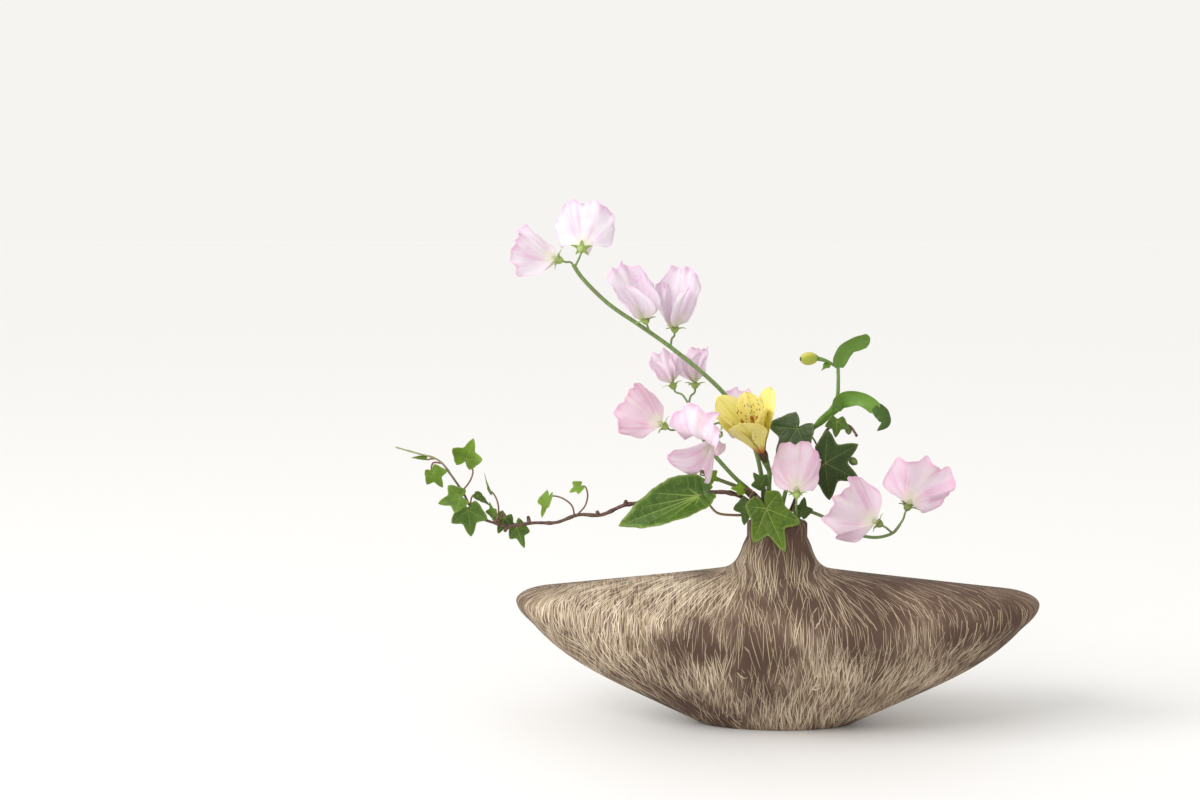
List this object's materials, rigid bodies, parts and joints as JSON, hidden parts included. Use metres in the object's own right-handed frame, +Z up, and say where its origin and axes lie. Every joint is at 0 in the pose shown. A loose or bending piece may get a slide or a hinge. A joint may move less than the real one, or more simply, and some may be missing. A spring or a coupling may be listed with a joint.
{
  "type": "flower arrangement in a vase",
  "caption": "Low ikebana arrangement of sweet pea, alstroemeria and trailing ivy in a wide boat-shaped clay vase, for a table or alcove.",
  "frame": {"origin": "centre of the vase's foot, on the surface that it stands on", "axes": "+Z up, +X along the vase's long axis, -Y towards the front of the arrangement; the ivy trails towards -X"},
  "size_m": [0.4881, 0.14, 0.4032],
  "materials": {
    "clay": "unglazed brown clay with brushed cream slip, matt",
    "water": "clear water, glossy",
    "sweet_pea_stem": "fresh green plant stem, satin",
    "sweet_pea_petal": "thin pale lilac-pink petal, translucent",
    "alstroemeria_petal": "pale yellow petal with fine brown flecks",
    "alstroemeria_stem": "bright green plant stem and leaves, satin",
    "cut_stem": "brownish green cut stem, satin",
    "ivy_stem": "thin purple-brown bark",
    "ivy_leaf": "mid-green leaf with pale veins, satin",
    "ivy_leaf_dark": "dark green leaf with pale veins, satin"
  },
  "bodies": {
    "root": {"vase": "clay", "water": "water", "alstroemeria_bloom": "alstroemeria_petal", "alstroemeria_bud": "alstroemeria_petal", "alstroemeria_shoot": "alstroemeria_stem", "alstroemeria_stem": "alstroemeria_stem", "cut_stem": "cut_stem", "cut_stem_leaf": "ivy_leaf", "ivy_leaf_big_left": "ivy_leaf", "ivy_leaf_dark_back": "ivy_leaf_dark", "ivy_leaf_dark_right": "ivy_leaf_dark", "ivy_leaf_front": "ivy_leaf", "ivy_leaf_loop": "ivy_leaf", "ivy_leaf_neck_left": "ivy_leaf_dark", "ivy_leaf_neck_middle": "ivy_leaf_dark", "ivy_leaf_neck_right": "ivy_leaf_dark", "ivy_leaf_neck_upper": "ivy_leaf_dark", "ivy_leaf_neck_yellow": "ivy_leaf_dark", "ivy_sprig_front": "ivy_stem", "ivy_sprig_right": "ivy_stem", "ivy_vine": "ivy_stem", "sweet_pea_bloom_a1": "sweet_pea_petal", "sweet_pea_bloom_a2": "sweet_pea_petal", "sweet_pea_bloom_a3": "sweet_pea_petal", "sweet_pea_bloom_a4": "sweet_pea_petal", "sweet_pea_bloom_b1": "sweet_pea_petal", "sweet_pea_bloom_b2": "sweet_pea_petal", "sweet_pea_bloom_b3": "sweet_pea_petal", "sweet_pea_bloom_b4": "sweet_pea_petal", "sweet_pea_bloom_b5": "sweet_pea_petal", "sweet_pea_bloom_c1": "sweet_pea_petal", "sweet_pea_bloom_c2": "sweet_pea_petal", "sweet_pea_bloom_d1": "sweet_pea_petal", "sweet_pea_stem_a": "sweet_pea_stem", "sweet_pea_stem_b": "sweet_pea_stem", "sweet_pea_stem_c": "sweet_pea_stem", "sweet_pea_stem_d": "sweet_pea_stem", "vine_leaf_01": "ivy_leaf", "vine_leaf_02": "ivy_leaf", "vine_leaf_03": "ivy_leaf", "vine_leaf_04": "ivy_leaf", "vine_leaf_05": "ivy_leaf", "vine_leaf_06": "ivy_leaf", "vine_leaf_07": "ivy_leaf", "vine_leaf_08": "ivy_leaf", "vine_leaf_09": "ivy_leaf", "vine_leaf_10": "ivy_leaf", "vine_leaf_11": "ivy_leaf", "vine_leaf_12": "ivy_leaf"}
  },
  "joints": []
}
